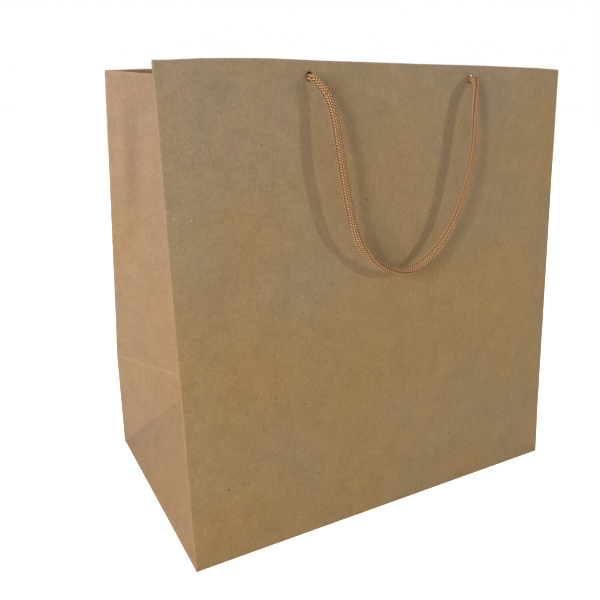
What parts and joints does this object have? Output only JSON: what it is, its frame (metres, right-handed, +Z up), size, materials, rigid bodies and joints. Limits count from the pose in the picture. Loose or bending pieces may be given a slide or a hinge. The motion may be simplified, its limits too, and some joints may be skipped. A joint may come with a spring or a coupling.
{
  "type": "gift bag",
  "caption": "Kraft paper gift bag with block bottom, folded-in bellows sides, turned-in rim and two knotted braided cord handles that swing.",
  "frame": {"origin": "middle of the bag's footprint, on the surface that it stands on", "axes": "+X to the right along the front panel, +Y from the front panel to the back, +Z up"},
  "size_m": [0.3, 0.178, 0.3019],
  "materials": {
    "kraft_paper": "matte uncoated kraft paper, fine fibres",
    "card_stock": "matte brown card",
    "grey_board": "matte recycled board",
    "braided_cord": "braided two-tone cord, light tan and dark brown strands"
  },
  "bodies": {
    "base": {"back_panel_lower": "kraft_paper", "base_board": "grey_board", "bottom_flap_back": "kraft_paper", "bottom_flap_front": "kraft_paper", "bottom_flap_left": "kraft_paper", "bottom_flap_right": "kraft_paper", "left_gusset_back_half": "kraft_paper", "left_gusset_back_triangle": "kraft_paper", "left_gusset_base_triangle": "kraft_paper", "left_gusset_front_half": "kraft_paper", "left_rim_hem_back": "kraft_paper", "left_rim_hem_front": "kraft_paper", "right_gusset_back_half": "kraft_paper", "right_gusset_back_triangle": "kraft_paper", "right_gusset_base_triangle": "kraft_paper", "right_gusset_front_half": "kraft_paper", "right_rim_hem_back": "kraft_paper", "right_rim_hem_front": "kraft_paper", "side_seam_tab_lower": "kraft_paper"},
    "front": {"front_panel": "kraft_paper", "front_rim_card": "card_stock", "front_rim_hem": "kraft_paper", "front_handle_knot_left": "braided_cord", "front_handle_knot_right": "braided_cord"},
    "back": {"back_panel_upper": "kraft_paper", "back_rim_card": "card_stock", "back_rim_hem": "kraft_paper", "side_seam_tab_upper": "kraft_paper", "back_handle_knot_left": "braided_cord", "back_handle_knot_right": "braided_cord"},
    "front_handle": {"front_handle_cord": "braided_cord"},
    "back_handle": {"back_handle_cord": "braided_cord"}
  },
  "joints": [
    {"name": "front_mouth_fold", "type": "hinge", "parent": "base", "child": "front", "pos_m": [0, -0.08885, 0], "axis": [-1, 0, 0], "range_deg": [-4.5, 8], "deforming": ["left_gusset_front_half", "left_rim_hem_front", "right_gusset_front_half", "right_rim_hem_front"]},
    {"name": "back_mouth_fold", "type": "hinge", "parent": "base", "child": "back", "pos_m": [0, 0.08885, 0.08], "axis": [1, 0, 0], "range_deg": [-6.2, 10.9], "deforming": ["left_gusset_back_half", "left_rim_hem_back", "right_gusset_back_half", "right_rim_hem_back"]},
    {"name": "front_handle_swing", "type": "hinge", "parent": "front", "child": "front_handle", "pos_m": [0, -0.06889, 0.29496], "axis": [-1, 0, 0], "range_deg": [0, 165]},
    {"name": "back_handle_swing", "type": "hinge", "parent": "back", "child": "back_handle", "pos_m": [0, 0.05251, 0.29255], "axis": [1, 0, 0], "range_deg": [0, 165]}
  ],
  "couplings": [
    {"joint": "back_mouth_fold", "follows": "front_mouth_fold", "ratio": 1.35}
  ]
}
